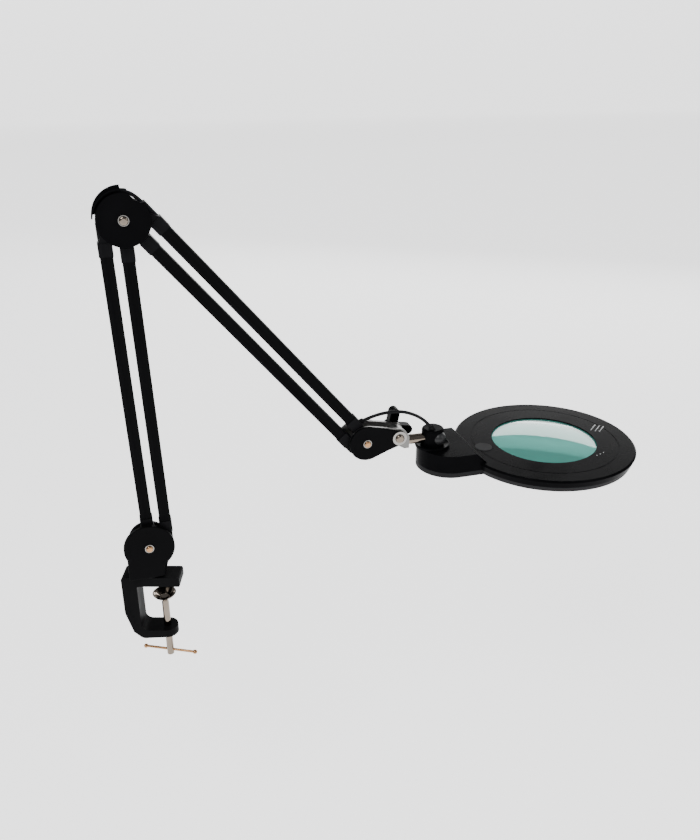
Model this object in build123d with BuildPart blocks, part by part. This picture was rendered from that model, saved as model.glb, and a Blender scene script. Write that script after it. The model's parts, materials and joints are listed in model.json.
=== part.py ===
import os
from math import cos, radians, sin, tan

from build123d import *

os.makedirs("parts", exist_ok=True)

# Frame: +X towards the lamp head, +Y away from the viewer, +Z up, millimetres.
# The origin is on the face of the top clamp jaw, under the axis that the arm swivels on.
# Clamp
CLAMP_YAW = -16
CLAMP_WIDTH = 24
JAW_THICK = 11.5
JAW_GAP = 60
LOWER_JAW_THICK = 9.5
SPINE_OUT = -32.5
SPINE_IN = -15.7
JAW_END = 32
SCREW_X = 11
SCREW_R = 4
SCREW_TOP = -21
SCREW_LENGTH = 81
PAD_R = 13
BAR_Z = -96
BAR_REACH = 30
BAR_YAW = -26
# Arms: two pairs of square tubes, each pair a parallelogram
LEAN = 1.7
DROP = 50.2
TUBE = 12
WALL = 1
PIN_TO_PIN = 325.6
PIN_R = 2
BASE_Z = 51
OUTER_OFFSET = 4.2
LINK_ACROSS = 15.2
LINK_ALONG = 6.5
SLEEVE_R = 3.2
LEAD_R = 1.9
LEAD_ACROSS = 6.9
# Side plates and covers, as distances from the middle plane
PLATE_IN = 7.2
PLATE_OUT = 9.6
COVER_IN = 9.8
BOLT_R = 3
SPACER_R = 4.4
# Wrist, stem and hub
WRIST_R = 20.2
TILT = (283.3, 144.7)
STEM_Z = 135.7
STEM_R = 5.75
HUB = (328, 125.4, 147)
HUB_R = 12.8
# Head
HEAD_X = 473
RING_TOP = 112.7
RING_SPLIT = 104
RING_BOTTOM = 98
RING_R = 106.9
RING_BOTTOM_R = 102.2
LENS_R = 63.5
OPENING_R = 62
NECK_TOP = 125
NECK_R = 37
NECK_X = 348
RUN = 0.05


def save(name, *builders):
    """Write a node, whose builders stay separate solids."""
    if len(builders) == 1:
        node = builders[0].part
        node.label = name
    else:
        node = Compound(label=name, children=[builder.part for builder in builders])
    export_step(node, f"parts/{name}.step")


def facing(point, back=0.0, direction=(1, 0)):
    """A plane that faces the viewer at the depth `back`, its X turned along direction."""
    return Plane((point[0], back, point[1]), (direction[0], 0, direction[1]), (0, -1, 0))


def arm_point(origin, direction, across, along):
    """The point so far along an arm and so far across it, on the lead's side."""
    left = (-direction[1], direction[0])
    return (
        origin[0] + along * direction[0] + across * left[0],
        origin[1] + along * direction[1] + across * left[1],
    )


UP_ARM = (-sin(radians(LEAN)), cos(radians(LEAN)))
DOWN_ARM = (cos(radians(DROP)), -sin(radians(DROP)))
BASE = (0, BASE_Z)
ELBOW = arm_point(BASE, UP_ARM, -20.65, 349.1)
WRIST = arm_point(ELBOW, DOWN_ARM, 15.7, 349)
LOWER_OUTER = arm_point(BASE, UP_ARM, -5.1, 11)
LOWER_INNER = arm_point(LOWER_OUTER, UP_ARM, -LINK_ACROSS, -LINK_ALONG)
UPPER_INNER = arm_point(ELBOW, DOWN_ARM, 0.4, 19)
UPPER_OUTER = arm_point(UPPER_INNER, DOWN_ARM, LINK_ACROSS, -LINK_ALONG)
ELBOW_OUTER = arm_point(LOWER_OUTER, UP_ARM, 0, PIN_TO_PIN)
ELBOW_INNER = arm_point(LOWER_INNER, UP_ARM, 0, PIN_TO_PIN)
WRIST_OUTER = arm_point(UPPER_OUTER, DOWN_ARM, 0, PIN_TO_PIN)
WRIST_INNER = arm_point(UPPER_INNER, DOWN_ARM, 0, PIN_TO_PIN)
SLEEVE_REACH = {"lower_bottom": 4, "lower_top": 10, "upper_top": 10, "upper_bottom": None}
LEAD_WAY = Vector(cos(radians(20)), 0, sin(radians(20)))
LEAD_EXIT = Vector(WRIST_OUTER[0] + 5.4, 0, WRIST_OUTER[1] + 15.4)
for name, point in {
    "elbow": ELBOW, "wrist": WRIST, "lower_outer": LOWER_OUTER, "lower_inner": LOWER_INNER,
    "elbow_outer": ELBOW_OUTER, "elbow_inner": ELBOW_INNER, "upper_outer": UPPER_OUTER,
    "upper_inner": UPPER_INNER, "wrist_outer": WRIST_OUTER, "wrist_inner": WRIST_INNER,
}.items():
    print(f"{name}: {point[0]:.2f}, {point[1]:.2f}")

# ---- Clamp: a cast C with its screw, turned under the arm ----
CLAMP_X = Vector(cos(radians(CLAMP_YAW)), sin(radians(CLAMP_YAW)), 0)
CLAMP_SIDE = Plane((0, 0, 0), CLAMP_X, CLAMP_X.cross(Vector(0, 0, 1)))
BAR_WAY = Vector(cos(radians(BAR_YAW)), sin(radians(BAR_YAW)), 0)
LOWER_BOTTOM = -JAW_GAP - LOWER_JAW_THICK
SPINE_BEND = -36


def clamp_level(x, z):
    """A level plane at the height z, centred x along the clamp from the swivel axis."""
    return Plane(CLAMP_X * x + Vector(0, 0, z), CLAMP_X, (0, 0, 1))


with BuildPart() as clamp_frame:
    with BuildSketch(CLAMP_SIDE):
        with BuildLine():
            Polyline(
                (JAW_END, 0), (JAW_END, JAW_THICK), (SPINE_OUT, JAW_THICK), (SPINE_OUT, SPINE_BEND),
                (SPINE_OUT + 7.5, -62), (SPINE_OUT + 17, LOWER_BOTTOM - 1.5), (SCREW_X, LOWER_BOTTOM),
                (SCREW_X, -JAW_GAP), (SPINE_IN, -JAW_GAP), (SPINE_IN, 0), (JAW_END, 0),
            )
        make_face()
        for corner, radius in (
            ((SPINE_OUT, JAW_THICK), 3), ((JAW_END, JAW_THICK), 2.5), ((JAW_END, 0), 1.5),
            ((SPINE_IN, -JAW_GAP), 8), ((SPINE_IN, 0), 2), ((SPINE_OUT, SPINE_BEND), 20),
            ((SPINE_OUT + 17, LOWER_BOTTOM - 1.5), 8),
        ):
            fillet(vertices().sort_by_distance(corner)[0], radius)
    extrude(amount=CLAMP_WIDTH / 2, both=True)
    with BuildSketch(clamp_level(SCREW_X, LOWER_BOTTOM)):
        Circle(CLAMP_WIDTH / 2)
    extrude(amount=LOWER_JAW_THICK)
    with BuildSketch(clamp_level(SCREW_X, LOWER_BOTTOM - 2)):
        Circle(SCREW_R + RUN)
    extrude(amount=LOWER_JAW_THICK + 2, mode=Mode.SUBTRACT)
    with BuildSketch(Plane.XY):
        Circle(8.6)
    extrude(amount=4.2, mode=Mode.SUBTRACT)
    with BuildSketch(Plane.XY):
        Circle(6.5)
    extrude(amount=JAW_THICK, mode=Mode.SUBTRACT)
save("clamp_frame", clamp_frame)

with BuildPart() as swivel_bush:
    with BuildSketch(Plane.XZ):
        with BuildLine():
            Polyline(
                (5 + RUN, 4.2), (6.5, 4.2), (6.5, JAW_THICK), (12, JAW_THICK),
                (12, JAW_THICK + 1.2), (5 + RUN, JAW_THICK + 1.2), (5 + RUN, 4.2),
            )
        make_face()
    revolve(axis=Axis.Z)
save("swivel_bush", swivel_bush)

# The screw turns in the lower jaw; its ball end carries the pad, its foot the sliding bar.
SCREW_FOOT = SCREW_TOP - SCREW_LENGTH
BALL_R = 4.6
with BuildPart() as clamp_screw:
    with BuildSketch(clamp_level(SCREW_X, SCREW_FOOT)):
        Circle(SCREW_R)
    extrude(amount=SCREW_LENGTH - 4)
    chamfer(edges().group_by(Axis.Z)[0], 0.8)
    with BuildSketch(clamp_level(SCREW_X, SCREW_TOP - 5)):
        Circle(2.6)
    extrude(amount=4)
    with BuildSketch(clamp_level(SCREW_X, SCREW_TOP - 1)):
        Circle(BALL_R)
    extrude(amount=1.6, taper=20)
    with BuildSketch(Plane(CLAMP_X * SCREW_X + Vector(0, 0, BAR_Z), (0, 0, 1), BAR_WAY)):
        Circle(1.5 + RUN)
    extrude(amount=SCREW_R + 1, both=True, mode=Mode.SUBTRACT)
save("clamp_screw", clamp_screw)

with BuildPart() as saucer_pad:
    with BuildSketch(Plane(CLAMP_X * SCREW_X, CLAMP_X, CLAMP_SIDE.z_dir)):
        with BuildLine():
            Polyline(
                (2.7, SCREW_TOP - 3.6), (5.5, SCREW_TOP - 3.6), (PAD_R - 1, SCREW_TOP + 3.2),
                (PAD_R, SCREW_TOP + 5), (PAD_R - 1.2, SCREW_TOP + 5), (PAD_R - 3, SCREW_TOP + 3.6),
                (5.4, SCREW_TOP - 1.1), (2.7, SCREW_TOP - 1.1), (2.7, SCREW_TOP - 3.6),
            )
        make_face()
    revolve(axis=Axis(CLAMP_X * SCREW_X, (0, 0, 1)))
save("saucer_pad", saucer_pad)

BAR_AXIS = Plane(CLAMP_X * SCREW_X + Vector(0, 0, BAR_Z), (0, 0, 1), BAR_WAY)
with BuildPart() as tommy_bar:
    with BuildSketch(BAR_AXIS):
        Circle(1.5)
    extrude(amount=BAR_REACH, both=True)
    for way in (-1, 1):
        with Locations(BAR_AXIS.from_local_coords((0, 0, way * BAR_REACH))):
            Sphere(2.6)
save("tommy_bar", tommy_bar)


# ---- Pieces that the joints share ----
def pins(points, name):
    with BuildPart() as group:
        for point in points:
            with BuildSketch(facing(point, PLATE_OUT)):
                Circle(PIN_R)
            extrude(amount=2 * PLATE_OUT)
    save(name, group)


def ring(point, outer, inner, back, thick):
    with BuildPart() as washer:
        with BuildSketch(facing(point, back)):
            Circle(outer)
            Circle(inner, mode=Mode.SUBTRACT)
        extrude(amount=thick)
    return washer


def bolt(point, face, back, head_r, name):
    """A dome-headed bolt whose head rests on the depth -face and whose tip is at `back`."""
    with BuildPart() as screw:
        with BuildSketch(facing(point, back)):
            Circle(BOLT_R)
        extrude(amount=face + back)
        with BuildSketch(facing(point, -face)):
            Circle(head_r)
        extrude(amount=head_r * 0.55)
        fillet(edges().group_by(Axis.Y)[0], head_r * 0.5)
    save(name, screw)


def nut(point, back):
    with BuildPart() as hexagon:
        with BuildSketch(facing(point, back)):
            RegularPolygon(5, 6, major_radius=False)
            Circle(BOLT_R, mode=Mode.SUBTRACT)
        extrude(amount=4.6)
        chamfer(edges().group_by(Axis.Y)[-1], 0.5)
    return hexagon


def side_plate(outline, holes, pin_points, back):
    """A flat steel plate with a bolt hole and pressed pins; outline draws its face."""
    with BuildPart() as plate:
        with BuildSketch(facing((0, 0), back)):
            outline()
            with Locations(holes):
                Circle(BOLT_R + 0.1, mode=Mode.SUBTRACT)
            with Locations(*pin_points):
                Circle(PIN_R, mode=Mode.SUBTRACT)
        extrude(amount=PLATE_OUT - PLATE_IN)
    return plate


# ---- Arms ----
EYE_R = {0: 6, OUTER_OFFSET: 5}
TUBE_START = 15
COLLAR = (8, 21)


def tube_end(plane, shift, reach):
    """The fitting on a tube's end: an eye, a collar round the tube and a plug inside it."""
    eye = EYE_R[shift]
    with BuildPart() as fitting:
        with BuildSketch(plane):
            Circle(eye)
            with Locations((COLLAR[0] + 3, shift)):
                Rectangle(6, TUBE)
            make_hull()
        extrude(amount=TUBE / 2, both=True)
        section = Plane(plane.from_local_coords((COLLAR[0], shift, 0)), plane.y_dir, plane.x_dir)
        with BuildSketch(section):
            RectangleRounded(TUBE + 1.4, TUBE + 1.4, 1)
        extrude(amount=COLLAR[1] - COLLAR[0])
        with BuildSketch(section.offset(TUBE_START - COLLAR[0])):
            Rectangle(TUBE, TUBE)
            Rectangle(TUBE - 2 * WALL, TUBE - 2 * WALL, mode=Mode.SUBTRACT)
        extrude(amount=COLLAR[1], mode=Mode.SUBTRACT)
        with BuildSketch(section.offset(COLLAR[1] - COLLAR[0])):
            Rectangle(TUBE - 2 * WALL, TUBE - 2 * WALL)
        extrude(amount=4)
        if shift and reach is None:
            with BuildSketch(Plane(LEAD_EXIT, (0, 1, 0), LEAD_WAY)):
                Circle(SLEEVE_R)
            extrude(amount=-7)
        elif shift:
            mouth = Plane(
                plane.from_local_coords((-reach, LEAD_ACROSS, 0)), plane.y_dir, plane.x_dir
            )
            with BuildSketch(mouth):
                Circle(SLEEVE_R)
            extrude(amount=reach + COLLAR[0] + 1)
            with BuildSketch(mouth):
                Circle(LEAD_R + 0.1)
            extrude(amount=reach + COLLAR[1] + 4, mode=Mode.SUBTRACT)
        with BuildSketch(plane):
            Circle(PIN_R + RUN)
        extrude(amount=TUBE, both=True, mode=Mode.SUBTRACT)
    return fitting


def tube(plane, shift, name):
    start = plane.from_local_coords((TUBE_START, shift, 0))
    with BuildPart() as square:
        with BuildSketch(Plane(start, plane.y_dir, plane.x_dir)):
            RectangleRounded(TUBE, TUBE, 1.2)
            Rectangle(TUBE - 2 * WALL, TUBE - 2 * WALL, mode=Mode.SUBTRACT)
        extrude(amount=PIN_TO_PIN - 2 * TUBE_START)
    save(name, square)


def spring(plane, shift, start, name):
    """A tension spring inside a tube, hooked on a cross rod at each end."""
    origin = plane.from_local_coords((start, shift - 0.6, 0))
    coil = Helix(3, 60, 3.2).moved(Plane(origin, plane.y_dir, plane.x_dir).location)
    with BuildPart() as wire:
        with BuildSketch(Plane(coil @ 0, z_dir=coil % 0)):
            Circle(0.6)
        sweep(path=coil, is_frenet=True)
    save(name, wire)


def anchors(plane, shift, places, name):
    with BuildPart() as rods:
        for along in places:
            centre = plane.from_local_coords((along, shift - 0.6, 0))
            with BuildSketch(Plane(centre, plane.x_dir, plane.z_dir)):
                Circle(1.5)
            extrude(amount=TUBE / 2 - WALL, both=True)
    save(name, rods)


LOWER = {"outer": LOWER_OUTER, "inner": LOWER_INNER}
UPPER = {"outer": UPPER_OUTER, "inner": UPPER_INNER}
for arm, origins, direction in (("lower", LOWER, UP_ARM), ("upper", UPPER, DOWN_ARM)):
    ends = ("bottom", "top") if arm == "lower" else ("top", "bottom")
    for row, origin in origins.items():
        shift = OUTER_OFFSET if row == "outer" else 0
        near = facing(origin, 0, direction)
        far_pin = arm_point(origin, direction, 0, PIN_TO_PIN)
        tube(near, shift, f"{arm}_{row}_tube")
        far = Plane((far_pin[0], 0, far_pin[1]), (-direction[0], 0, -direction[1]), (0, 1, 0))
        fittings = [
            tube_end(plane, shift, SLEEVE_REACH[f"{arm}_{end}"])
            for plane, end in zip((near, far), ends)
        ]
        save(f"{arm}_{row}_ends", *fittings)
        if row == "inner":
            spring(near, shift, 40, f"{arm}_spring")
            anchors(near, shift, (38, 102), f"{arm}_spring_rods")

# ---- Base: a yoke that swivels on the clamp and carries the lower arm ----
FOOT = (-24.5, 14)
FOOT_Z = JAW_THICK + 1.3
FOOT_THICK = 6
with BuildPart() as base_yoke:
    with BuildSketch(facing((0, 0), PLATE_OUT)):
        with Locations(BASE):
            Circle(21)
        with Locations(LOWER_INNER):
            Circle(5.5)
        with Locations(((FOOT[0] + FOOT[1]) / 2, FOOT_Z + FOOT_THICK / 2)):
            Rectangle(FOOT[1] - FOOT[0], FOOT_THICK)
        make_hull()
    extrude(amount=2 * PLATE_OUT)
    with BuildSketch(facing((0, 0), PLATE_IN)):
        with Locations((0, FOOT_Z + FOOT_THICK + 50)):
            Rectangle(80, 100)
    extrude(amount=2 * PLATE_IN, mode=Mode.SUBTRACT)
    with BuildSketch(facing((0, 0), PLATE_OUT)):
        with Locations(BASE):
            Circle(BOLT_R + 0.1)
        with Locations(LOWER_OUTER, LOWER_INNER):
            Circle(PIN_R)
    extrude(amount=2 * PLATE_OUT, mode=Mode.SUBTRACT)
    with BuildSketch(Plane.XY.offset(FOOT_Z)):
        Circle(4)
    extrude(amount=FOOT_THICK, mode=Mode.SUBTRACT)
save("base_yoke", base_yoke)

with BuildPart() as swivel_pin:
    with BuildSketch(Plane.XY.offset(0.4)):
        Circle(8.3)
    extrude(amount=3.6)
    with BuildSketch(Plane.XY.offset(4)):
        Circle(5)
    extrude(amount=FOOT_Z - 4)
    with BuildSketch(Plane.XY.offset(FOOT_Z)):
        Circle(4)
    extrude(amount=FOOT_THICK + 6.5)
    with BuildSketch(Plane.XY.offset(0.4)):
        RegularPolygon(2.5, 6)
    extrude(amount=2, mode=Mode.SUBTRACT)

with BuildPart() as swivel_nut:
    with BuildSketch(Plane.XY.offset(FOOT_Z + FOOT_THICK)):
        RegularPolygon(6.5, 6, major_radius=False)
        Circle(4, mode=Mode.SUBTRACT)
    extrude(amount=5.5)
save("swivel_pin", swivel_pin, swivel_nut)


def cover(outline, front, back, wall):
    """A pressed cover: outline draws its face, and its inner side is hollowed."""
    with BuildPart() as shell:
        with BuildSketch(facing((0, 0), back)):
            outline()
        extrude(amount=back - front)
        fillet(faces().sort_by(Axis.Y)[0].outer_wire().edges(), 1)
        with BuildSketch(facing((0, 0), back)):
            outline()
            offset(amount=-wall)
        extrude(amount=back - front - wall, mode=Mode.SUBTRACT)
    return shell


def bore(shell, point, radius):
    with BuildPart() as drilled:
        add(shell.part)
        with BuildSketch(facing(point, 30)):
            Circle(radius)
        extrude(amount=60, mode=Mode.SUBTRACT)
    return drilled


def base_outline():
    with Locations(BASE):
        Circle(27)
    with Locations(((FOOT[0] + FOOT[1]) / 2, (FOOT_Z + BASE_Z) / 2 + 0.2)):
        Rectangle(FOOT[1] - FOOT[0], BASE_Z - FOOT_Z - 0.4)


FACE = 14
base_front = cover(base_outline, -FACE, -COVER_IN, 1.8)
save("base_cover_front", bore(base_front, BASE, BOLT_R + 0.1))
save("base_cover_rear", ring(BASE, 18.5, BOLT_R + 0.1, 13.4, 13.4 - COVER_IN))
pins((LOWER_OUTER, LOWER_INNER), "base_pivot_pins")
bolt(BASE, FACE + 0.8, 20, 3.9, "base_bolt")
save(
    "base_fasteners", ring(BASE, SPACER_R, BOLT_R + 0.1, PLATE_IN, 2 * PLATE_IN),
    ring(BASE, 4.8, BOLT_R + 0.1, -FACE, 0.8), nut(BASE, 18),
)

# ---- Elbow: two steel plates with four pins, a cover, and a shell that guards the lead ----
NOTCH = arm_point(ELBOW, (cos(radians(55)), sin(radians(55))), 0, 31)


def elbow_outline(radius, notch_r):
    with Locations(ELBOW):
        Circle(radius)
    with Locations(NOTCH):
        Circle(notch_r, mode=Mode.SUBTRACT)


ELBOW_PINS = (ELBOW_OUTER, ELBOW_INNER, UPPER_OUTER, UPPER_INNER)
front_plate = side_plate(lambda: elbow_outline(24.5, 10.5), ELBOW, ELBOW_PINS, -PLATE_IN)
rear_plate = side_plate(lambda: elbow_outline(24.5, 12), ELBOW, ELBOW_PINS, PLATE_OUT)
save("elbow_plates", front_plate, rear_plate)
elbow_front = cover(lambda: elbow_outline(25, 10.5), -FACE, -COVER_IN, 1.8)
save("elbow_cover", bore(elbow_front, ELBOW, BOLT_R + 0.1))

SHELL_IN = 26.8
SHELL_OUT = 28.3
SHELL_ARC = (91, 84)


def shell_band(inner, outer):
    with BuildLine() as band:
        inside = CenterArc(ELBOW, inner, *SHELL_ARC)
        outside = CenterArc(ELBOW, outer, *SHELL_ARC)
        Line(inside @ 0, outside @ 0)
        Line(inside @ 1, outside @ 1)
    make_face(band.edges())


with BuildPart() as elbow_shell:
    with BuildSketch(facing((0, 0), FACE)):
        elbow_outline(25, 12)
        with Locations(ELBOW):
            Circle(BOLT_R + 0.1, mode=Mode.SUBTRACT)
    extrude(amount=FACE - COVER_IN)
    with BuildSketch(facing((0, 0), FACE)):
        shell_band(24, SHELL_OUT)
    extrude(amount=2)
    with BuildSketch(facing((0, 0), FACE)):
        shell_band(SHELL_IN, SHELL_OUT)
    extrude(amount=2 * FACE - 1)
save("elbow_shell", elbow_shell)
pins(ELBOW_PINS, "elbow_pivot_pins")
bolt(ELBOW, FACE + 0.8, 20.5, 4.4, "elbow_bolt")
save(
    "elbow_fasteners", ring(ELBOW, SPACER_R, BOLT_R + 0.1, PLATE_IN, 2 * PLATE_IN),
    ring(ELBOW, 5, BOLT_R + 0.1, -FACE, 0.8), nut(ELBOW, FACE + 4.6),
)

# ---- Wrist: zinc plates between black covers, with the tilt bolt at their narrow end ----
WRIST_FACE = 12
GAP_ACROSS = -5.6
TAB_REACH = 26.5


def teardrop(big, small):
    with Locations(WRIST):
        Circle(big)
    with Locations(TILT):
        Circle(small)
    make_hull()


def rear_zinc():
    teardrop(19.8, 10.4)
    tab = arm_point(WRIST, DOWN_ARM, GAP_ACROSS, -TAB_REACH / 2)
    with Locations(tab):
        Rectangle(TAB_REACH, 9, rotation=-DROP)


WRIST_PINS = (WRIST_OUTER, WRIST_INNER)
front_plate = side_plate(lambda: teardrop(19.8, 10.4), (WRIST, TILT), WRIST_PINS, -PLATE_IN)
rear_plate = side_plate(rear_zinc, (WRIST, TILT), WRIST_PINS, PLATE_OUT)
save("wrist_plates", front_plate, rear_plate)
wrist_covers = []
for side, back in (("front", -COVER_IN), ("rear", WRIST_FACE)):
    with BuildPart() as wrist_cover:
        with BuildSketch(facing((0, 0), back)):
            teardrop(WRIST_R, 8)
            with Locations(WRIST, TILT):
                Circle(BOLT_R + 0.1, mode=Mode.SUBTRACT)
        extrude(amount=WRIST_FACE - COVER_IN)
        outer_face = faces().sort_by(Axis.Y)[0 if side == "front" else -1]
        fillet(outer_face.outer_wire().edges(), 0.8)
    wrist_covers.append(wrist_cover)
save("wrist_covers", *wrist_covers)
pins(WRIST_PINS, "wrist_pivot_pins")
bolt(WRIST, WRIST_FACE + 0.8, 18.5, 3.9, "wrist_bolt")
save(
    "wrist_fasteners", ring(WRIST, SPACER_R, BOLT_R + 0.1, PLATE_IN, 2 * PLATE_IN),
    ring(WRIST, 4.8, BOLT_R + 0.1, -WRIST_FACE, 0.8), nut(WRIST, WRIST_FACE + 4.6),
)

# ---- Tilt: a zinc block and a steel stem, locked by a hand knob on the far side ----
KNOB_FACE = 13.4
KNOB_DEPTH = 11.6
KNOB_TURN = -10
BLOCK_END = 297
STEM_END = 329
with BuildPart() as tilt_block:
    with BuildSketch(facing((0, 0), PLATE_IN - 0.2)):
        with Locations(TILT):
            Circle(9.5)
        with Locations((BLOCK_END - 3, STEM_Z)):
            Rectangle(6, 2 * STEM_R + 3)
        make_hull()
        with Locations(TILT):
            Circle(BOLT_R + RUN, mode=Mode.SUBTRACT)
    extrude(amount=2 * PLATE_IN - 0.4)
    with BuildSketch(Plane.YZ.offset(BLOCK_END)):
        with Locations((0, STEM_Z)):
            Circle(STEM_R)
    extrude(amount=-10, mode=Mode.SUBTRACT)
save("tilt_block", tilt_block)

with BuildPart() as stem:
    with BuildSketch(Plane.YZ.offset(BLOCK_END - 10)):
        with Locations((0, STEM_Z)):
            Circle(STEM_R)
    extrude(amount=STEM_END - BLOCK_END + 10)
    chamfer(edges().group_by(Axis.X)[-1], 0.6)
save("stem", stem)

front_washer = ring(TILT, 8.2, BOLT_R + 0.1, -WRIST_FACE, 1.2)
save("tilt_washers", front_washer, ring(TILT, 8, BOLT_R + 0.1, KNOB_FACE - 0.2, 1.2))
bolt(TILT, WRIST_FACE + 1.2, KNOB_FACE + 9, 5.2, "tilt_bolt")
save("knob_insert", ring(TILT, 4.6, BOLT_R + RUN, KNOB_FACE + 8.6, 8.6))


def knob_outline():
    with Locations(TILT):
        Circle(9.5)
        for turn in (KNOB_TURN, KNOB_TURN + 90):
            SlotOverall(50, 11, rotation=turn)


with BuildPart() as tilt_knob:
    with BuildSketch(facing((0, 0), KNOB_FACE)):
        knob_outline()
    extrude(amount=-KNOB_DEPTH)
    fillet(faces().sort_by(Axis.Y)[-1].edges(), 2)
    with BuildSketch(facing((0, 0), KNOB_FACE)):
        knob_outline()
        offset(amount=-2)
        with Locations(TILT):
            Circle(7, mode=Mode.SUBTRACT)
    extrude(amount=-KNOB_DEPTH + 3, mode=Mode.SUBTRACT)
    with BuildSketch(facing(TILT, KNOB_FACE)):
        Circle(4.6)
    extrude(amount=-8.6, mode=Mode.SUBTRACT)
    with BuildSketch(facing(TILT, KNOB_FACE + 8.6)):
        Circle(BOLT_R + 0.1)
    extrude(amount=-1.4, mode=Mode.SUBTRACT)
save("tilt_knob", tilt_knob)

# ---- Hub: it rolls on the stem and carries the head's swivel ----
HUB_X, HUB_LOW, HUB_HIGH = HUB
CAP = (332.5, -8, 136.5)
CAP_R = 8.2
GLAND = (325.8, -4, 147)
GLAND_PLANE = Plane(GLAND, (0, 1, 0), (-0.62, 0, 0.78))
with BuildPart() as hub_body:
    with BuildSketch(Plane.XY.offset(HUB_LOW)):
        with Locations((HUB_X, 0)):
            Circle(HUB_R)
    extrude(amount=HUB_HIGH - HUB_LOW)
    fillet(edges().group_by(Axis.Z)[-1], 2.5)
    with BuildSketch(Plane.YZ.offset(STEM_END + 0.5)):
        with Locations((0, STEM_Z)):
            Circle(STEM_R + RUN)
    extrude(amount=-2 * HUB_R, mode=Mode.SUBTRACT)
    with Locations(CAP):
        Sphere(CAP_R, mode=Mode.SUBTRACT)
    with BuildSketch(GLAND_PLANE.offset(-4)):
        Circle(3)
    extrude(amount=12, mode=Mode.SUBTRACT)
    with BuildSketch(Plane.XY.offset(HUB_LOW)):
        with Locations((HUB_X, 0)):
            Circle(4)
    extrude(amount=3, mode=Mode.SUBTRACT)
save("hub_body", hub_body)

with BuildPart() as hub_cap:
    with Locations(CAP):
        Sphere(CAP_R)
    with BuildSketch(Plane.YZ.offset(STEM_END + 0.5)):
        with Locations((0, STEM_Z)):
            Circle(STEM_R + RUN)
    extrude(amount=-2 * HUB_R, mode=Mode.SUBTRACT)
    with BuildSketch(Plane.XZ.offset(-1)):
        with Locations((CAP[0], CAP[2])):
            Circle(CAP_R + 1)
    extrude(amount=-CAP_R - 2, mode=Mode.SUBTRACT)
save("hub_cap", hub_cap)

with BuildPart() as lead_gland:
    with BuildSketch(GLAND_PLANE.offset(-4)):
        Circle(3)
    extrude(amount=7.5)
    chamfer(edges().filter_by(GeomType.CIRCLE).sort_by(Axis.Z)[-1], 0.6)
save("lead_gland", lead_gland)

# ---- Head: a ring round the lens and a neck that hangs from the hub ----
NECK_END = 381
NECK_FLAT = 368
CAVITY = (67, 102.4)
ROOF = RING_TOP - 2.2
SEAT = 111.6
BUTTON = (394, 10.4)
GROOVE_R = 87
HEAD_AXIS = Axis((HEAD_X, 0, 0), (0, 0, 1))


def neck_shape(inset, low):
    """The neck's outside, or the hollow inside it, from the height low upwards."""
    half = NECK_R - inset
    with BuildPart() as shape:
        with BuildSketch(Plane.XY.offset(low)):
            with Locations((NECK_X, 0)):
                Circle(half)
            with Locations(((NECK_X + NECK_END) / 2, 0)):
                Rectangle(NECK_END - NECK_X, 2 * half)
        extrude(amount=NECK_TOP - inset - low)
        with BuildSketch(facing((0, 0), NECK_R + 5)):
            with BuildLine():
                Polyline(
                    (NECK_FLAT - inset / 2, NECK_TOP - inset), (NECK_END, RING_TOP - inset),
                    (NECK_END + 5, RING_TOP - inset), (NECK_END + 5, NECK_TOP + 5),
                    (NECK_FLAT - inset / 2, NECK_TOP + 5), close=True,
                )
            make_face()
        extrude(amount=2 * NECK_R + 10, mode=Mode.SUBTRACT)
    return shape.part


def turned(points):
    """A ring turned about the lens axis from the (radius, height) points of its section."""
    with BuildPart() as body:
        with BuildSketch(Plane.XZ):
            with BuildLine():
                Polyline(*[(HEAD_X + r, z) for r, z in points], close=True)
            make_face()
        revolve(axis=HEAD_AXIS)
    return body


SCREW_PLACES = ((330, -25), (330, 25), (HEAD_X, -95), (HEAD_X, 95), (HEAD_X + 95, 0))
ring_section = (
    (OPENING_R, RING_TOP), (GROOVE_R - 0.5, RING_TOP), (GROOVE_R - 0.5, RING_TOP - 0.4),
    (GROOVE_R + 0.5, RING_TOP - 0.4), (GROOVE_R + 0.5, RING_TOP), (RING_R - 2, RING_TOP),
    (RING_R, RING_TOP - 2), (104.6, RING_SPLIT), (OPENING_R, RING_SPLIT),
)
with BuildPart() as head_upper:
    add(turned(ring_section).part)
    add(neck_shape(0, RING_SPLIT))
    add(neck_shape(2.2, RING_SPLIT), mode=Mode.SUBTRACT)
    with BuildSketch(Plane.XY.offset(RING_SPLIT)):
        with Locations((HEAD_X, 0)):
            Circle(CAVITY[1])
            Circle(CAVITY[0], mode=Mode.SUBTRACT)
    extrude(amount=ROOF - RING_SPLIT, mode=Mode.SUBTRACT)
    with BuildSketch(Plane.XY.offset(RING_SPLIT)):
        with Locations((HEAD_X, 0)):
            Circle(LENS_R + 2.1)
    extrude(amount=SEAT - RING_SPLIT, mode=Mode.SUBTRACT)
    with BuildSketch(Plane.XY.offset(ROOF)):
        with Locations((BUTTON[0], 0)):
            Circle(BUTTON[1] + 0.4)
    extrude(amount=RING_TOP - ROOF, mode=Mode.SUBTRACT)
    with BuildSketch(Plane.XY.offset(NECK_TOP - 2.2)):
        with Locations((HUB_X, 0)):
            Circle(4 + RUN)
    extrude(amount=2.2, mode=Mode.SUBTRACT)
    for x, y in SCREW_PLACES:
        roof = NECK_TOP - 2.2 if x < NECK_X else ROOF
        with BuildSketch(Plane.XY.offset(RING_SPLIT)):
            with Locations((x, y)):
                Circle(3.4)
        extrude(amount=roof - RING_SPLIT)
        with BuildSketch(Plane.XY.offset(RING_SPLIT)):
            with Locations((x, y)):
                Circle(1.5)
        extrude(amount=5, mode=Mode.SUBTRACT)
save("head_upper", head_upper)

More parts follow.
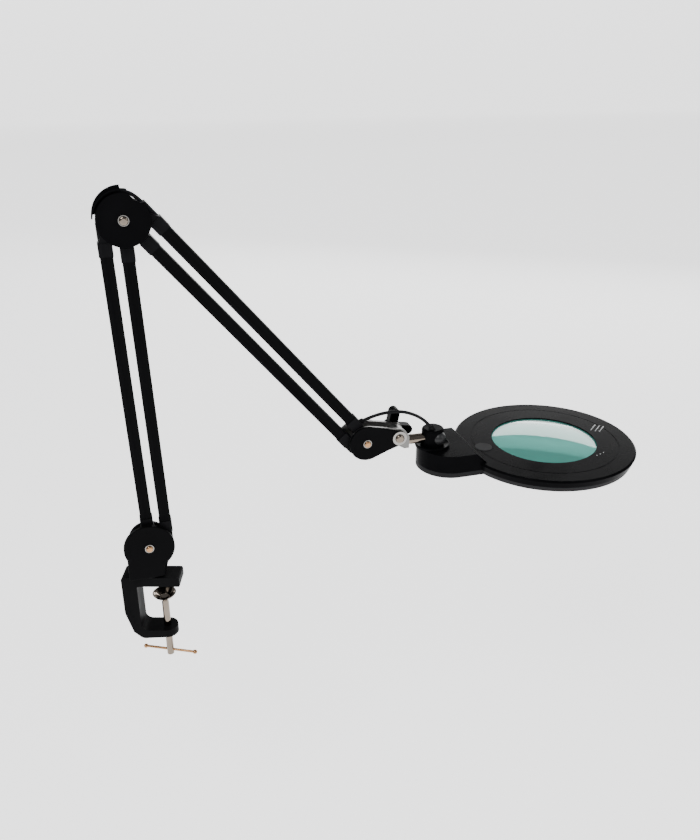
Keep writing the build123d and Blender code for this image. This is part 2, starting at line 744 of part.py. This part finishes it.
WALL_TOP = RING_SPLIT - 0.2
bezel_section = (
    (RING_BOTTOM_R, RING_BOTTOM), (104.5, WALL_TOP), (101.2, WALL_TOP), (99.3, 100.2),
    (89.4, 100.2), (89.4, 98.4), (87.6, 98.4), (87.6, RING_BOTTOM),
)
with BuildPart() as head_lower:
    add(turned(bezel_section).part)
    with BuildPart() as tray:
        add(neck_shape(0, RING_BOTTOM))
        with BuildSketch(Plane.XY.offset(WALL_TOP)):
            with Locations((NECK_X, 0)):
                Rectangle(4 * NECK_R, 2 * NECK_R + 4)
        extrude(amount=NECK_TOP, mode=Mode.SUBTRACT)
        add(neck_shape(2.2, RING_BOTTOM + 2), mode=Mode.SUBTRACT)
        with BuildSketch(Plane.XY.offset(RING_BOTTOM)):
            with Locations((HEAD_X, 0)):
                Circle(100)
        extrude(amount=NECK_TOP, mode=Mode.SUBTRACT)
    add(tray.part)
    for x, y in SCREW_PLACES:
        with BuildSketch(Plane.XY.offset(RING_BOTTOM)):
            with Locations((x, y)):
                Circle(4)
        extrude(amount=WALL_TOP - RING_BOTTOM)
        with BuildSketch(Plane.XY.offset(RING_BOTTOM)):
            with Locations((x, y)):
                Circle(1.7)
        extrude(amount=WALL_TOP - RING_BOTTOM, mode=Mode.SUBTRACT)
        with BuildSketch(Plane.XY.offset(RING_BOTTOM)):
            with Locations((x, y)):
                Circle(3)
        extrude(amount=2, mode=Mode.SUBTRACT)
save("head_lower", head_lower)

with BuildPart() as case_screws:
    for x, y in SCREW_PLACES:
        with BuildSketch(Plane.XY.offset(RING_BOTTOM + 0.3)):
            with Locations((x, y)):
                Circle(2.7)
        extrude(amount=1.7)
        with BuildSketch(Plane.XY.offset(RING_BOTTOM + 2)):
            with Locations((x, y)):
                Circle(1.5)
        extrude(amount=8.5)
save("case_screws", case_screws)

LENS_EDGE = (108, 110.6)
LENS_SAG = (1.6, 5.2)
with BuildPart() as lens:
    with BuildSketch(Plane.XZ):
        with BuildLine():
            top = ThreePointArc(
                (HEAD_X - LENS_R, LENS_EDGE[1]), (HEAD_X, LENS_EDGE[1] + LENS_SAG[1]),
                (HEAD_X + LENS_R, LENS_EDGE[1]),
            )
            bottom = ThreePointArc(
                (HEAD_X - LENS_R, LENS_EDGE[0]), (HEAD_X, LENS_EDGE[0] - LENS_SAG[0]),
                (HEAD_X + LENS_R, LENS_EDGE[0]),
            )
            Line(top @ 0, bottom @ 0)
            Line(top @ 1, bottom @ 1)
        make_face()
        with Locations((HEAD_X - LENS_R, LENS_EDGE[0])):
            Rectangle(2 * LENS_R, 20, align=(Align.MAX, Align.CENTER), mode=Mode.SUBTRACT)
        with Locations((HEAD_X, LENS_EDGE[0])):
            Rectangle(LENS_R, 20, align=(Align.MAX, Align.CENTER), mode=Mode.SUBTRACT)
    revolve(axis=HEAD_AXIS)
save("lens", lens)

gasket_section = ((62.6, 110.8), (65.3, 110.8), (65.3, 111.5), (62.6, 111.5))
save("lens_gasket", turned(gasket_section))
retainer_section = (
    (OPENING_R, RING_BOTTOM), (69.5, RING_BOTTOM), (69.5, 103.6), (65.3, 103.6), (65.3, 107.7),
    (OPENING_R, 107.7),
)
save("lens_retainer", turned(retainer_section))
diffuser_section = ((69.8, 98.6), (89.1, 98.6), (89.1, 100.4), (69.8, 100.4))
save("diffuser", turned(diffuser_section))

BOARD_Z = RING_SPLIT
with BuildPart() as led_board:
    with BuildSketch(Plane.XY.offset(BOARD_Z)):
        with Locations((HEAD_X, 0)):
            Circle(101.8)
            Circle(72, mode=Mode.SUBTRACT)
        with Locations(*SCREW_PLACES):
            Circle(4.5, mode=Mode.SUBTRACT)
    extrude(amount=1.2)
save("led_board", led_board)

with BuildPart() as led_chips:
    with BuildSketch(Plane.XY.offset(BOARD_Z - 0.8)):
        with Locations((HEAD_X, 0)):
            with PolarLocations(79.5, 24):
                Rectangle(2.8, 3.5)
    extrude(amount=0.8)
save("led_chips", led_chips)

with BuildPart() as power_switch:
    with BuildSketch(Plane.XY.offset(BOARD_Z + 1.2)):
        with Locations((BUTTON[0], 0)):
            Rectangle(7, 7)
    extrude(amount=1.6)
save("power_switch", power_switch)

with BuildPart() as power_button:
    with BuildSketch(Plane.XY.offset(ROOF - 1.4)):
        with Locations((BUTTON[0], 0)):
            Circle(BUTTON[1] + 1.2)
    extrude(amount=1.2)
    with BuildSketch(Plane.XY.offset(ROOF - 0.2)):
        with Locations((BUTTON[0], 0)):
            Circle(BUTTON[1])
    extrude(amount=RING_TOP - ROOF + 0.6)
    fillet(edges().group_by(Axis.Z)[-1], 0.4)
save("power_button", power_button)

with BuildPart() as driver_board:
    with BuildSketch(Plane.XY.offset(RING_BOTTOM + 2)):
        with Locations((346, 0)):
            Rectangle(32, 40)
            RectangleRounded(30, 32, 1)
    extrude(amount=2.5)
    with BuildSketch(Plane.XY.offset(RING_BOTTOM + 4.5)):
        with Locations((344, 8)):
            Rectangle(14, 12)
        with Locations((346, -10)):
            Circle(5)
    extrude(amount=9)
save("driver_board", driver_board)

with BuildPart() as neck_collar:
    with BuildSketch(Plane.XZ):
        with BuildLine():
            Polyline(
                (HUB_X + 13.2, NECK_TOP), (HUB_X + 20, NECK_TOP), (HUB_X + 20, NECK_TOP + 2.4),
                (HUB_X + 19, NECK_TOP + 3), (HUB_X + 13.2, NECK_TOP + 1.2), close=True,
            )
        make_face()
    revolve(axis=Axis((HUB_X, 0, 0), (0, 0, 1)))
save("neck_collar", neck_collar)

with BuildPart() as head_bolt:
    with BuildSketch(Plane.XY.offset(NECK_TOP - 8)):
        with Locations((HUB_X, 0)):
            Circle(4)
    extrude(amount=HUB_LOW + 3 - NECK_TOP + 8)

with BuildPart() as head_nut:
    with BuildSketch(Plane.XY.offset(NECK_TOP - 7)):
        with Locations((HUB_X, 0)):
            RegularPolygon(6.5, 6, major_radius=False)
            Circle(4, mode=Mode.SUBTRACT)
    extrude(amount=4.4)
save("head_bolt", head_bolt, head_nut)


# ---- Leads: one thin lead runs through the tubes and shows at the elbow and the wrist ----
def lead(points, name):
    """A lead along its points, each bend as wide as the shorter run beside it allows."""
    places = [Vector(point) for point in points]
    bends = []
    for before, here, after in zip(places, places[1:], places[2:]):
        half_turn = radians((here - before).get_angle(after - here)) / 2
        shorter = min((here - before).length, (after - here).length)
        bends.append(0.45 * shorter / tan(half_turn))
    with BuildPart() as cord:
        with BuildLine() as route:
            FilletPolyline(*places, radius=bends)
        path = route.wires()[0]
        with BuildSketch(Plane(path @ 0, z_dir=path % 0)):
            Circle(LEAD_R)
        sweep(path=path)
    save(name, cord)
    print(f"{name}: {path.length:.1f} long, volume {cord.part.volume:.0f}, "
          f"bends {[round(bend, 1) for bend in bends]}")


def spoke(angle, radius):
    """A point in the middle plane at an angle and distance from the elbow's bolt."""
    return (ELBOW[0] + radius * cos(radians(angle)), 0, ELBOW[1] + radius * sin(radians(angle)))


low_mouth = arm_point(ELBOW_OUTER, UP_ARM, LEAD_ACROSS, SLEEVE_REACH["lower_top"])
high_mouth = arm_point(UPPER_OUTER, DOWN_ARM, LEAD_ACROSS, -SLEEVE_REACH["upper_top"])
lead(
    [
        (low_mouth[0], 0, low_mouth[1]), spoke(165, 23.6), spoke(138, 24.8), spoke(111, 25.4),
        spoke(84, 24.8), spoke(57, 23.6), (high_mouth[0], 0, high_mouth[1]),
    ],
    "elbow_lead",
)
GLAND_MOUTH = GLAND_PLANE.from_local_coords((0, 0, 3.5))
lead(
    [
        LEAD_EXIT, LEAD_EXIT + LEAD_WAY * 12, LEAD_EXIT + (29, -0.6, 7), LEAD_EXIT + (46, -1.8, 6.2),
        LEAD_EXIT + (61, -3, 0.4), GLAND_PLANE.from_local_coords((0, 0, 14.5)), GLAND_MOUTH,
    ],
    "wrist_lead",
)
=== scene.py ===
import json
import math

import bmesh
import bpy
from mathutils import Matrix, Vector


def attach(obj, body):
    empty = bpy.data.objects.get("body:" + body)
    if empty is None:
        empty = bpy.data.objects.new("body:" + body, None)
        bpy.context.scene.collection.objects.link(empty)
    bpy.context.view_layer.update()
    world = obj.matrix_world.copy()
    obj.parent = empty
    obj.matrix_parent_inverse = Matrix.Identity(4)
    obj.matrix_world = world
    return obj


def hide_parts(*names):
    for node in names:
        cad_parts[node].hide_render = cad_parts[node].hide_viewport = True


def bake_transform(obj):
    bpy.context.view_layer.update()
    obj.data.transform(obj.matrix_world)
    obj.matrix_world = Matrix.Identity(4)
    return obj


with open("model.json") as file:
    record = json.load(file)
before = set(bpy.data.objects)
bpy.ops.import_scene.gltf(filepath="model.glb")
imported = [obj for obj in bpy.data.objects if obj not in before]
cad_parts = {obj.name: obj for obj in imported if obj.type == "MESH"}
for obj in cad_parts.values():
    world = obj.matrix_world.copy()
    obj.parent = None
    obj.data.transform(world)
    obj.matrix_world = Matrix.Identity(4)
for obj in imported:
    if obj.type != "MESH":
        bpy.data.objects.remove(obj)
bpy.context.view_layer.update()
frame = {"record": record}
bpy.ops.object.select_all(action="DESELECT")

# ---- camera: at the level of the elbow, a little left of the clamp, looking down at the lens
cameraSpec = {
    "place": (0.0003, -0.7757, 0.5384), "tilt": 66.17, "turn": -15.92,
    "lens": 34.47, "shift": (0.0075, -0.0124), "clip": 0.02,
}
bpy.ops.object.camera_add(
    location=cameraSpec["place"],
    rotation=(math.radians(cameraSpec["tilt"]), 0, math.radians(cameraSpec["turn"])),
)
camera = bpy.context.object
camera.name = "camera"
camera.data.lens = cameraSpec["lens"]
camera.data.shift_x, camera.data.shift_y = cameraSpec["shift"]
camera.data.clip_start = cameraSpec["clip"]
bpy.context.scene.camera = camera


# ---- leads: along the points that their solids follow, in millimetres
# each becomes a tube, attached to its body unless it has a far end
leadSpec = {"order": 3, "smooth": 12, "round": 6}


def makeLead(spec):
    curve = bpy.data.curves.new(spec["name"], "CURVE")
    curve.dimensions = "3D"
    spline = curve.splines.new("NURBS")
    spline.points.add(len(spec["points"]) - 1)
    for point, place in zip(spline.points, spec["points"]):
        point.co = (place[0] / 1000, place[1] / 1000, place[2] / 1000, 1)
    spline.order_u = leadSpec["order"]
    spline.use_endpoint_u = True
    spline.resolution_u = leadSpec["smooth"]
    lead = bpy.data.objects.new(spec["name"], curve)
    bpy.context.scene.collection.objects.link(lead)
    bpy.context.view_layer.update()
    line = bpy.data.meshes.new_from_object(lead)
    bpy.data.meshes.remove(line)
    curve.bevel_depth = spec["diameter"] / 2
    curve.bevel_resolution = leadSpec["round"]
    curve.use_fill_caps = True
    bpy.ops.object.select_all(action="DESELECT")
    lead.select_set(True)
    bpy.context.view_layer.objects.active = lead
    bpy.ops.object.convert(target="MESH")
    bpy.ops.object.shade_smooth()
    if "far" in spec:
        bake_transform(lead)
    else:
        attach(lead, spec["body"])
    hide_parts(spec["node"])
    return lead


elbowMiddle = (10.28, 400.56)


def spoke(angle, radius):
    return (
        elbowMiddle[0] + radius * math.cos(math.radians(angle)), 0,
        elbowMiddle[1] + radius * math.sin(math.radians(angle)),
    )


elbowLeadSpec = {
    "name": "elbowLead", "node": "elbow_lead", "body": "elbow", "diameter": 0.0038,
    "length": 0.0639,
    "points": [
        (-12.09, 0, 397.4), spoke(165, 23.6), spoke(138, 24.8), spoke(111, 25.4),
        spoke(84, 24.8), spoke(57, 23.6), (29.17, 0, 413.04),
    ],
}
leadWay = (math.cos(math.radians(20)), math.sin(math.radians(20)))
leadExit = (244.09, 0, 166.19)


def fromExit(x, y, z):
    return (leadExit[0] + x, y, leadExit[2] + z)


wristLeadSpec = {
    "name": "wristLead", "node": "wrist_lead", "body": "wrist", "far": "tilt", "diameter": 0.0038,
    "length": 0.0881,
    "points": [
        leadExit, fromExit(12 * leadWay[0], 0, 12 * leadWay[1]), fromExit(29, -0.6, 7),
        fromExit(46, -1.8, 6.2), fromExit(61, -3, 0.4), (316.78, -4, 158.35),
        (323.62, -4, 149.74),
    ],
}
elbowLead = makeLead(elbowLeadSpec)
wristLead = makeLead(wristLeadSpec)
print("leads made")

# ---- floor and a backdrop that curves up behind, as one sheet
backdropSpec = {"size": 24.0, "middle": (0.2, 1.2, -0.42), "height": 3.6, "bend": 2.4, "rounds": 24}
bpy.ops.mesh.primitive_plane_add(size=backdropSpec["size"], location=backdropSpec["middle"])
backdrop = bpy.context.object
backdrop.name = "backdrop"
bpy.ops.object.mode_set(mode="EDIT")
bpy.ops.mesh.select_all(action="DESELECT")
sheet = bmesh.from_edit_mesh(backdrop.data)
farY = max(v.co.y for v in sheet.verts)
for edge in sheet.edges:
    edge.select_set(all(abs(v.co.y - farY) < 1e-4 for v in edge.verts))
bmesh.update_edit_mesh(backdrop.data)
bpy.ops.mesh.extrude_region_move(TRANSFORM_OT_translate={"value": (0, 0, backdropSpec["height"])})
sheet = bmesh.from_edit_mesh(backdrop.data)
bpy.ops.mesh.select_all(action="DESELECT")
for edge in sheet.edges:
    edge.select_set(all(abs(v.co.y - farY) < 1e-4 and abs(v.co.z) < 1e-4 for v in edge.verts))
bmesh.update_edit_mesh(backdrop.data)
bpy.ops.mesh.bevel(offset=backdropSpec["bend"], segments=backdropSpec["rounds"], profile=0.5)
bpy.ops.object.mode_set(mode="OBJECT")
bpy.ops.object.shade_smooth()

# ---- lights: a soft key and fill before the lamp, and a low panel behind it that the lens mirrors
lightSpecs = {
    "keyLight": {"place": (-0.7, -0.9, 1.6), "aim": (0.2, 0, 0.2), "size": 0.9, "power": 22},
    "fillLight": {"place": (1.4, -0.9, 1.0), "aim": (0.3, 0, 0.2), "size": 0.8, "power": 7},
    "glassPanel": {
        "place": (2.03, 2.56, 1.02), "aim": (0.47, 0, 0.14), "size": 4.0, "height": 0.86, "power": 60,
    },
}
for name, spec in lightSpecs.items():
    bpy.ops.object.light_add(type="AREA", location=spec["place"])
    light = bpy.context.object
    light.name = name
    light.data.shape = "RECTANGLE"
    light.data.size = spec["size"]
    light.data.size_y = spec.get("height", spec["size"])
    light.visible_camera = False
    light.data.energy = spec["power"]
    aim = Vector(spec["aim"]) - Vector(spec["place"])
    light.rotation_euler = aim.to_track_quat("-Z", "Y").to_euler()
worldSpec = {"colour": (0.93, 0.95, 1, 1), "strength": 0.3}
world = bpy.data.worlds.new("studio")
bpy.context.scene.world = world
world.use_nodes = True
sky = world.node_tree.nodes["Background"]
sky.inputs["Color"].default_value = worldSpec["colour"]
sky.inputs["Strength"].default_value = worldSpec["strength"]
print("stage lit")


# ---- material tools
def newGroup(name, inputs, outputs):
    group = bpy.data.node_groups.new(name, "ShaderNodeTree")
    for label, value in inputs.items():
        socket = group.interface.new_socket(label, in_out="INPUT", socket_type="NodeSocketFloat")
        socket.default_value = value
    for label, kind in outputs.items():
        group.interface.new_socket(label, in_out="OUTPUT", socket_type=kind)
    return group, group.nodes.new("NodeGroupInput"), group.nodes.new("NodeGroupOutput")


# grain: fine moulded or painted texture with slow clouds of smoother and rougher skin
grain, grainIn, grainOut = newGroup(
    "grain", {"Scale": 900.0, "Rough low": 0.3, "Rough high": 0.45, "Cloud scale": 30.0},
    {"Height": "NodeSocketFloat", "Roughness": "NodeSocketFloat", "Cloud": "NodeSocketFloat"},
)
coords = grain.nodes.new("ShaderNodeTexCoord")
fine = grain.nodes.new("ShaderNodeTexNoise")
cloud = grain.nodes.new("ShaderNodeTexNoise")
spread = grain.nodes.new("ShaderNodeMapRange")
fine.inputs["Detail"].default_value = 3
cloud.inputs["Detail"].default_value = 5
spread.inputs["From Min"].default_value = 0.3
spread.inputs["From Max"].default_value = 0.7
for a, b in (
    (coords.outputs["Object"], fine.inputs["Vector"]),
    (coords.outputs["Object"], cloud.inputs["Vector"]),
    (grainIn.outputs["Scale"], fine.inputs["Scale"]),
    (grainIn.outputs["Cloud scale"], cloud.inputs["Scale"]),
    (cloud.outputs["Fac"], spread.inputs["Value"]),
    (grainIn.outputs["Rough low"], spread.inputs["To Min"]),
    (grainIn.outputs["Rough high"], spread.inputs["To Max"]),
    (spread.outputs["Result"], grainOut.inputs["Roughness"]),
    (fine.outputs["Fac"], grainOut.inputs["Height"]), (cloud.outputs["Fac"], grainOut.inputs["Cloud"]),
):
    grain.links.new(a, b)

# brushing: noise drawn out along one axis, as on rolled or turned metal
brushing, brushIn, brushOut = newGroup(
    "brushing", {"Along": 20.0, "Across": 900.0, "Rough low": 0.2, "Rough high": 0.4},
    {"Height": "NodeSocketFloat", "Roughness": "NodeSocketFloat", "Cloud": "NodeSocketFloat"},
)
coords = brushing.nodes.new("ShaderNodeTexCoord")
split = brushing.nodes.new("ShaderNodeSeparateXYZ")
join = brushing.nodes.new("ShaderNodeCombineXYZ")
streaks = brushing.nodes.new("ShaderNodeTexNoise")
cloud = brushing.nodes.new("ShaderNodeTexNoise")
spread = brushing.nodes.new("ShaderNodeMapRange")
streaks.inputs["Scale"].default_value = 1
streaks.inputs["Detail"].default_value = 2
cloud.inputs["Scale"].default_value = 60
brushing.links.new(coords.outputs["Object"], split.inputs["Vector"])
brushing.links.new(coords.outputs["Object"], cloud.inputs["Vector"])
for axis, rate in (("X", "Across"), ("Y", "Across"), ("Z", "Along")):
    stretch = brushing.nodes.new("ShaderNodeMath")
    stretch.operation = "MULTIPLY"
    brushing.links.new(split.outputs[axis], stretch.inputs[0])
    brushing.links.new(brushIn.outputs[rate], stretch.inputs[1])
    brushing.links.new(stretch.outputs[0], join.inputs[axis])
for a, b in (
    (join.outputs["Vector"], streaks.inputs["Vector"]),
    (streaks.outputs["Fac"], spread.inputs["Value"]),
    (brushIn.outputs["Rough low"], spread.inputs["To Min"]),
    (brushIn.outputs["Rough high"], spread.inputs["To Max"]),
    (spread.outputs["Result"], brushOut.inputs["Roughness"]),
    (streaks.outputs["Fac"], brushOut.inputs["Height"]),
    (cloud.outputs["Fac"], brushOut.inputs["Cloud"]),
):
    brushing.links.new(a, b)


def makeMaterial(name, spec):
    material = bpy.data.materials.new(name)
    material.use_nodes = True
    tree = material.node_tree
    shader = tree.nodes["Principled BSDF"]
    effect = tree.nodes.new("ShaderNodeGroup")
    effect.node_tree = brushing if spec["effect"] == "brushing" else grain
    for label, value in spec["settings"].items():
        effect.inputs[label].default_value = value
    tone = tree.nodes.new("ShaderNodeMix")
    tone.data_type = "RGBA"
    tone.inputs[6].default_value = (*spec["colour"], 1)
    tone.inputs[7].default_value = (*spec["second"], 1)
    bump = tree.nodes.new("ShaderNodeBump")
    bump.inputs["Strength"].default_value = spec.get("bump", 0.15)
    bump.inputs["Distance"].default_value = 0.0002
    tree.links.new(effect.outputs["Cloud"], tone.inputs[0])
    tree.links.new(tone.outputs[2], shader.inputs["Base Color"])
    tree.links.new(effect.outputs["Roughness"], shader.inputs["Roughness"])
    tree.links.new(effect.outputs["Height"], bump.inputs["Height"])
    tree.links.new(bump.outputs["Normal"], shader.inputs["Normal"])
    shader.inputs["Metallic"].default_value = spec.get("metal", 0)
    shader.inputs["Specular IOR Level"].default_value = spec.get("specular", 0.5)
    shader.inputs["Coat Weight"].default_value = spec.get("coat", 0)
    shader.inputs["Coat Roughness"].default_value = spec.get("coatRoughness", 0.1)
    return material


materialSpecs = {
    "blackPaint": {  # powder coat on the tubes and covers
        "effect": "grain", "specular": 0.02,
        "colour": (0.002, 0.002, 0.0022), "second": (0.004, 0.004, 0.0045), "bump": 0.12,
        "settings": {"Scale": 1400, "Rough low": 0.42, "Rough high": 0.56, "Cloud scale": 22},
    },
    "castBlack": {  # painted casting, coarser
        "effect": "grain", "specular": 0.02,
        "colour": (0.002, 0.002, 0.0022), "second": (0.006, 0.006, 0.0065), "bump": 0.3,
        "settings": {"Scale": 700, "Rough low": 0.3, "Rough high": 0.5, "Cloud scale": 40},
    },
    "zinc": {
        "effect": "brushing",
        "colour": (0.14, 0.14, 0.135), "second": (0.22, 0.215, 0.21), "metal": 1, "bump": 0.1,
        "settings": {"Along": 60, "Across": 700, "Rough low": 0.3, "Rough high": 0.46},
    },
    "steel": {
        "effect": "brushing",
        "colour": (0.24, 0.23, 0.22), "second": (0.34, 0.33, 0.31), "metal": 1, "bump": 0.08,
        "settings": {"Along": 40, "Across": 900, "Rough low": 0.18, "Rough high": 0.34},
    },
    "nickel": {
        "effect": "grain",
        "colour": (0.24, 0.21, 0.18), "second": (0.15, 0.115, 0.085), "metal": 1, "bump": 0.03,
        "settings": {"Scale": 900, "Rough low": 0.05, "Rough high": 0.14, "Cloud scale": 50},
    },
    "brass": {
        "effect": "brushing",
        "colour": (0.45, 0.26, 0.13), "second": (0.32, 0.17, 0.08), "metal": 1, "bump": 0.05,
        "settings": {"Along": 60, "Across": 600, "Rough low": 0.12, "Rough high": 0.26},
    },
    "blackPlastic": {
        "effect": "grain", "specular": 0.01,
        "colour": (0.0015, 0.0015, 0.0018), "second": (0.004, 0.004, 0.0045), "bump": 0.05,
        "settings": {"Scale": 1100, "Rough low": 0.2, "Rough high": 0.34, "Cloud scale": 25},
    },
    "shadeBlack": {  # dull moulding, with no gloss even at a shallow angle
        "effect": "grain", "specular": 0,
        "colour": (0.0025, 0.0025, 0.0028), "second": (0.005, 0.005, 0.0055), "bump": 0.2,
        "settings": {"Scale": 1200, "Rough low": 0.6, "Rough high": 0.8, "Cloud scale": 30},
    },
    "satinBlack": {
        "effect": "grain", "specular": 0.3,
        "colour": (0.012, 0.012, 0.013), "second": (0.02, 0.02, 0.021), "bump": 0.08,
        "settings": {"Scale": 1300, "Rough low": 0.3, "Rough high": 0.4, "Cloud scale": 40},
    },
    "matteBlack": {
        "effect": "grain", "specular": 0.035,
        "colour": (0.01, 0.01, 0.011), "second": (0.02, 0.02, 0.021), "bump": 0.3,
        "settings": {"Scale": 1300, "Rough low": 0.45, "Rough high": 0.62, "Cloud scale": 40},
    },
    "fitting": {  # nylon ends on the tubes
        "effect": "grain", "specular": 0.035,
        "colour": (0.003, 0.003, 0.0035), "second": (0.008, 0.008, 0.009), "bump": 0.2,
        "settings": {"Scale": 1200, "Rough low": 0.34, "Rough high": 0.5, "Cloud scale": 35},
    },
    "rubber": {
        "effect": "grain", "specular": 0.035,
        "colour": (0.009, 0.009, 0.009), "second": (0.02, 0.02, 0.02), "bump": 0.25,
        "settings": {"Scale": 1500, "Rough low": 0.5, "Rough high": 0.7, "Cloud scale": 60},
    },
    "jacket": {
        "effect": "grain", "specular": 0.035,
        "colour": (0.008, 0.008, 0.009), "second": (0.014, 0.014, 0.015), "bump": 0.15,
        "settings": {"Scale": 1200, "Rough low": 0.3, "Rough high": 0.42, "Cloud scale": 60},
    },
    "diffuserWhite": {
        "effect": "grain",
        "colour": (0.86, 0.87, 0.86), "second": (0.8, 0.81, 0.8), "bump": 0.3,
        "settings": {"Scale": 1500, "Rough low": 0.4, "Rough high": 0.5, "Cloud scale": 30},
    },
    "board": {
        "effect": "grain",
        "colour": (0.75, 0.78, 0.75), "second": (0.65, 0.7, 0.66), "bump": 0.1,
        "settings": {"Scale": 800, "Rough low": 0.3, "Rough high": 0.45, "Cloud scale": 70},
    },
    # light grey for the ring marks; on the slanting bars this grey is painted highlight, standing for
    # light caught on grip grooves
    "markGreyAndPaintedHighlight": {
        "effect": "grain",
        "colour": (0.34, 0.35, 0.35), "second": (0.42, 0.43, 0.43), "bump": 0.05,
        "settings": {"Scale": 1500, "Rough low": 0.4, "Rough high": 0.5, "Cloud scale": 90},
    },
    "chip": {
        "effect": "grain",
        "colour": (0.9, 0.78, 0.3), "second": (0.85, 0.7, 0.22), "bump": 0.05,
        "settings": {"Scale": 2000, "Rough low": 0.2, "Rough high": 0.3, "Cloud scale": 90},
    },
}
materials = {name: makeMaterial(name, spec) for name, spec in materialSpecs.items()}

# glass with a green cast, half clear, so that the lens keeps its colour over the pale floor
glassSpec = {
    "colour": (0.14, 0.5, 0.43, 1), "clear": 0.5, "ior": 1.52,
    "settings": {"Scale": 300, "Rough low": 0.01, "Rough high": 0.035, "Cloud scale": 18},
}
lensGlass = bpy.data.materials.new("lensGlass")
lensGlass.use_nodes = True
glass = lensGlass.node_tree.nodes["Principled BSDF"]
glassTree = lensGlass.node_tree
glassGrain = glassTree.nodes.new("ShaderNodeGroup")
glassGrain.node_tree = grain
for label, value in glassSpec["settings"].items():
    glassGrain.inputs[label].default_value = value
glassTree.links.new(glassGrain.outputs["Roughness"], glass.inputs["Roughness"])
glass.inputs["Base Color"].default_value = glassSpec["colour"]
glass.inputs["Transmission Weight"].default_value = glassSpec["clear"]
glass.inputs["IOR"].default_value = glassSpec["ior"]
materials["lensGlass"] = lensGlass

slotMaterials = {
    "black_paint": "blackPaint", "cast_black": "castBlack", "zinc": "zinc", "steel": "steel",
    "nickel": "nickel", "brass": "brass", "black_plastic": "blackPlastic", "matte_black": "matteBlack",
    "fitting": "fitting", "rubber": "rubber", "lens_glass": "lensGlass",
    "diffuser_white": "diffuserWhite", "board": "board", "chip": "chip", "lead_jacket": "jacket",
}
nodeMaterials = {
    "elbow_cover": "shadeBlack", "elbow_shell": "shadeBlack", "elbow_plates": "blackPaint",
    "hub_cap": "satinBlack",
}
for part in frame["record"]["subparts"]:
    node = bpy.data.objects.get(part["node"])
    if node and node.type == "MESH":
        chosen = nodeMaterials.get(part["node"], slotMaterials[part["material_slot"]])
        for materialSlot in node.material_slots:
            materialSlot.material = materials[chosen]
for lead in (elbowLead, wristLead):
    lead.data.materials.append(materials["jacket"])

paperSpec = {
    "colour": (0.9, 0.9, 0.9, 1), "glow": (1, 1, 1, 1), "strength": 1.8,
    "settings": {"Scale": 200, "Rough low": 0.85, "Rough high": 0.95},
}
paper = bpy.data.materials.new("paper")
paper.use_nodes = True
paperShader = paper.node_tree.nodes["Principled BSDF"]
paperGrain = paper.node_tree.nodes.new("ShaderNodeGroup")
paperGrain.node_tree = grain
for label, value in paperSpec["settings"].items():
    paperGrain.inputs[label].default_value = value
paper.node_tree.links.new(paperGrain.outputs["Roughness"], paperShader.inputs["Roughness"])
paperShader.inputs["Base Color"].default_value = paperSpec["colour"]
paperShader.inputs["Emission Color"].default_value = paperSpec["glow"]
paperShader.inputs["Emission Strength"].default_value = paperSpec["strength"]
backdrop.data.materials.append(paper)
print("materials placed")


# ---- small pieces, each modelled at its place
def settle(piece, name, body, material):
    piece.name = name
    bpy.ops.object.select_all(action="DESELECT")
    piece.select_set(True)
    bpy.context.view_layer.objects.active = piece
    bpy.ops.object.transform_apply(location=True, rotation=True, scale=True)
    piece.data.materials.clear()
    piece.data.materials.append(materials[material])
    bpy.ops.object.shade_smooth_by_angle(angle=math.radians(35))
    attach(piece, body)
    return piece


def bevelPiece(piece, width, segments):
    bevel = piece.modifiers.new("bevel", "BEVEL")
    bevel.width = width
    bevel.segments = segments
    bevel.limit_method = "ANGLE"
    bevel.angle_limit = math.radians(30)
    bpy.context.view_layer.objects.active = piece
    bpy.ops.object.modifier_apply(modifier="bevel")


# light grey marks on the ring: three slanting bars beyond the glass, their grey a painted highlight
# standing for light caught on grip grooves, and three dots before it
markSpec = {
    "top": 0.1127, "proud": 0.0002, "turn": 42, "slot": (0.019, 0.0013), "dot": 0.0008,
    "slots": [(0.5483, 0.0126), (0.5520, 0.0088), (0.5562, 0.0061)],
    "dots": [(0.511, -0.0563), (0.5168, -0.0540), (0.5226, -0.0516)],
}
# the grey of these bars is painted highlight, in place of the light that grooves would catch
for index, (x, y) in enumerate(markSpec["slots"]):
    bpy.ops.object.select_all(action="DESELECT")
    bpy.ops.mesh.primitive_cube_add(
        size=1, location=(x, y, markSpec["top"]),
        rotation=(0, 0, math.radians(markSpec["turn"])),
    )
    mark = bpy.context.object
    mark.scale = (*markSpec["slot"], 2 * markSpec["proud"])
    bpy.ops.object.transform_apply(location=False, rotation=False, scale=True)
    bevelPiece(mark, 0.00018, 3)
    settle(mark, f"ringSlot{index + 1}", "head", "markGreyAndPaintedHighlight")
for index, (x, y) in enumerate(markSpec["dots"]):
    bpy.ops.object.select_all(action="DESELECT")
    bpy.ops.mesh.primitive_cylinder_add(
        vertices=24, radius=markSpec["dot"], depth=2 * markSpec["proud"],
        location=(x, y, markSpec["top"]),
    )
    mark = bpy.context.object
    bevelPiece(mark, 0.00015, 2)
    settle(mark, f"ringDot{index + 1}", "head", "markGreyAndPaintedHighlight")

# ribs of the strain relief where the lead enters the hub
glandSpec = {
    "place": (0.3258, -0.004, 0.1470), "way": (-0.62, 0, 0.78), "ribs": 3, "radius": 0.0030,
    "rib": 0.00045, "first": 0.0008, "pitch": 0.0010,
}
glandWay = Vector(glandSpec["way"]).normalized()
for index in range(glandSpec["ribs"]):
    bpy.ops.object.select_all(action="DESELECT")
    bpy.ops.mesh.primitive_torus_add(
        major_radius=glandSpec["radius"], minor_radius=glandSpec["rib"],
        major_segments=40, minor_segments=10,
        location=Vector(glandSpec["place"])
        + glandWay * (glandSpec["pitch"] * index + glandSpec["first"]),
        rotation=glandWay.to_track_quat("Z", "Y").to_euler(),
    )
    settle(bpy.context.object, f"glandRib{index + 1}", "hub", "rubber")
print("small pieces made")
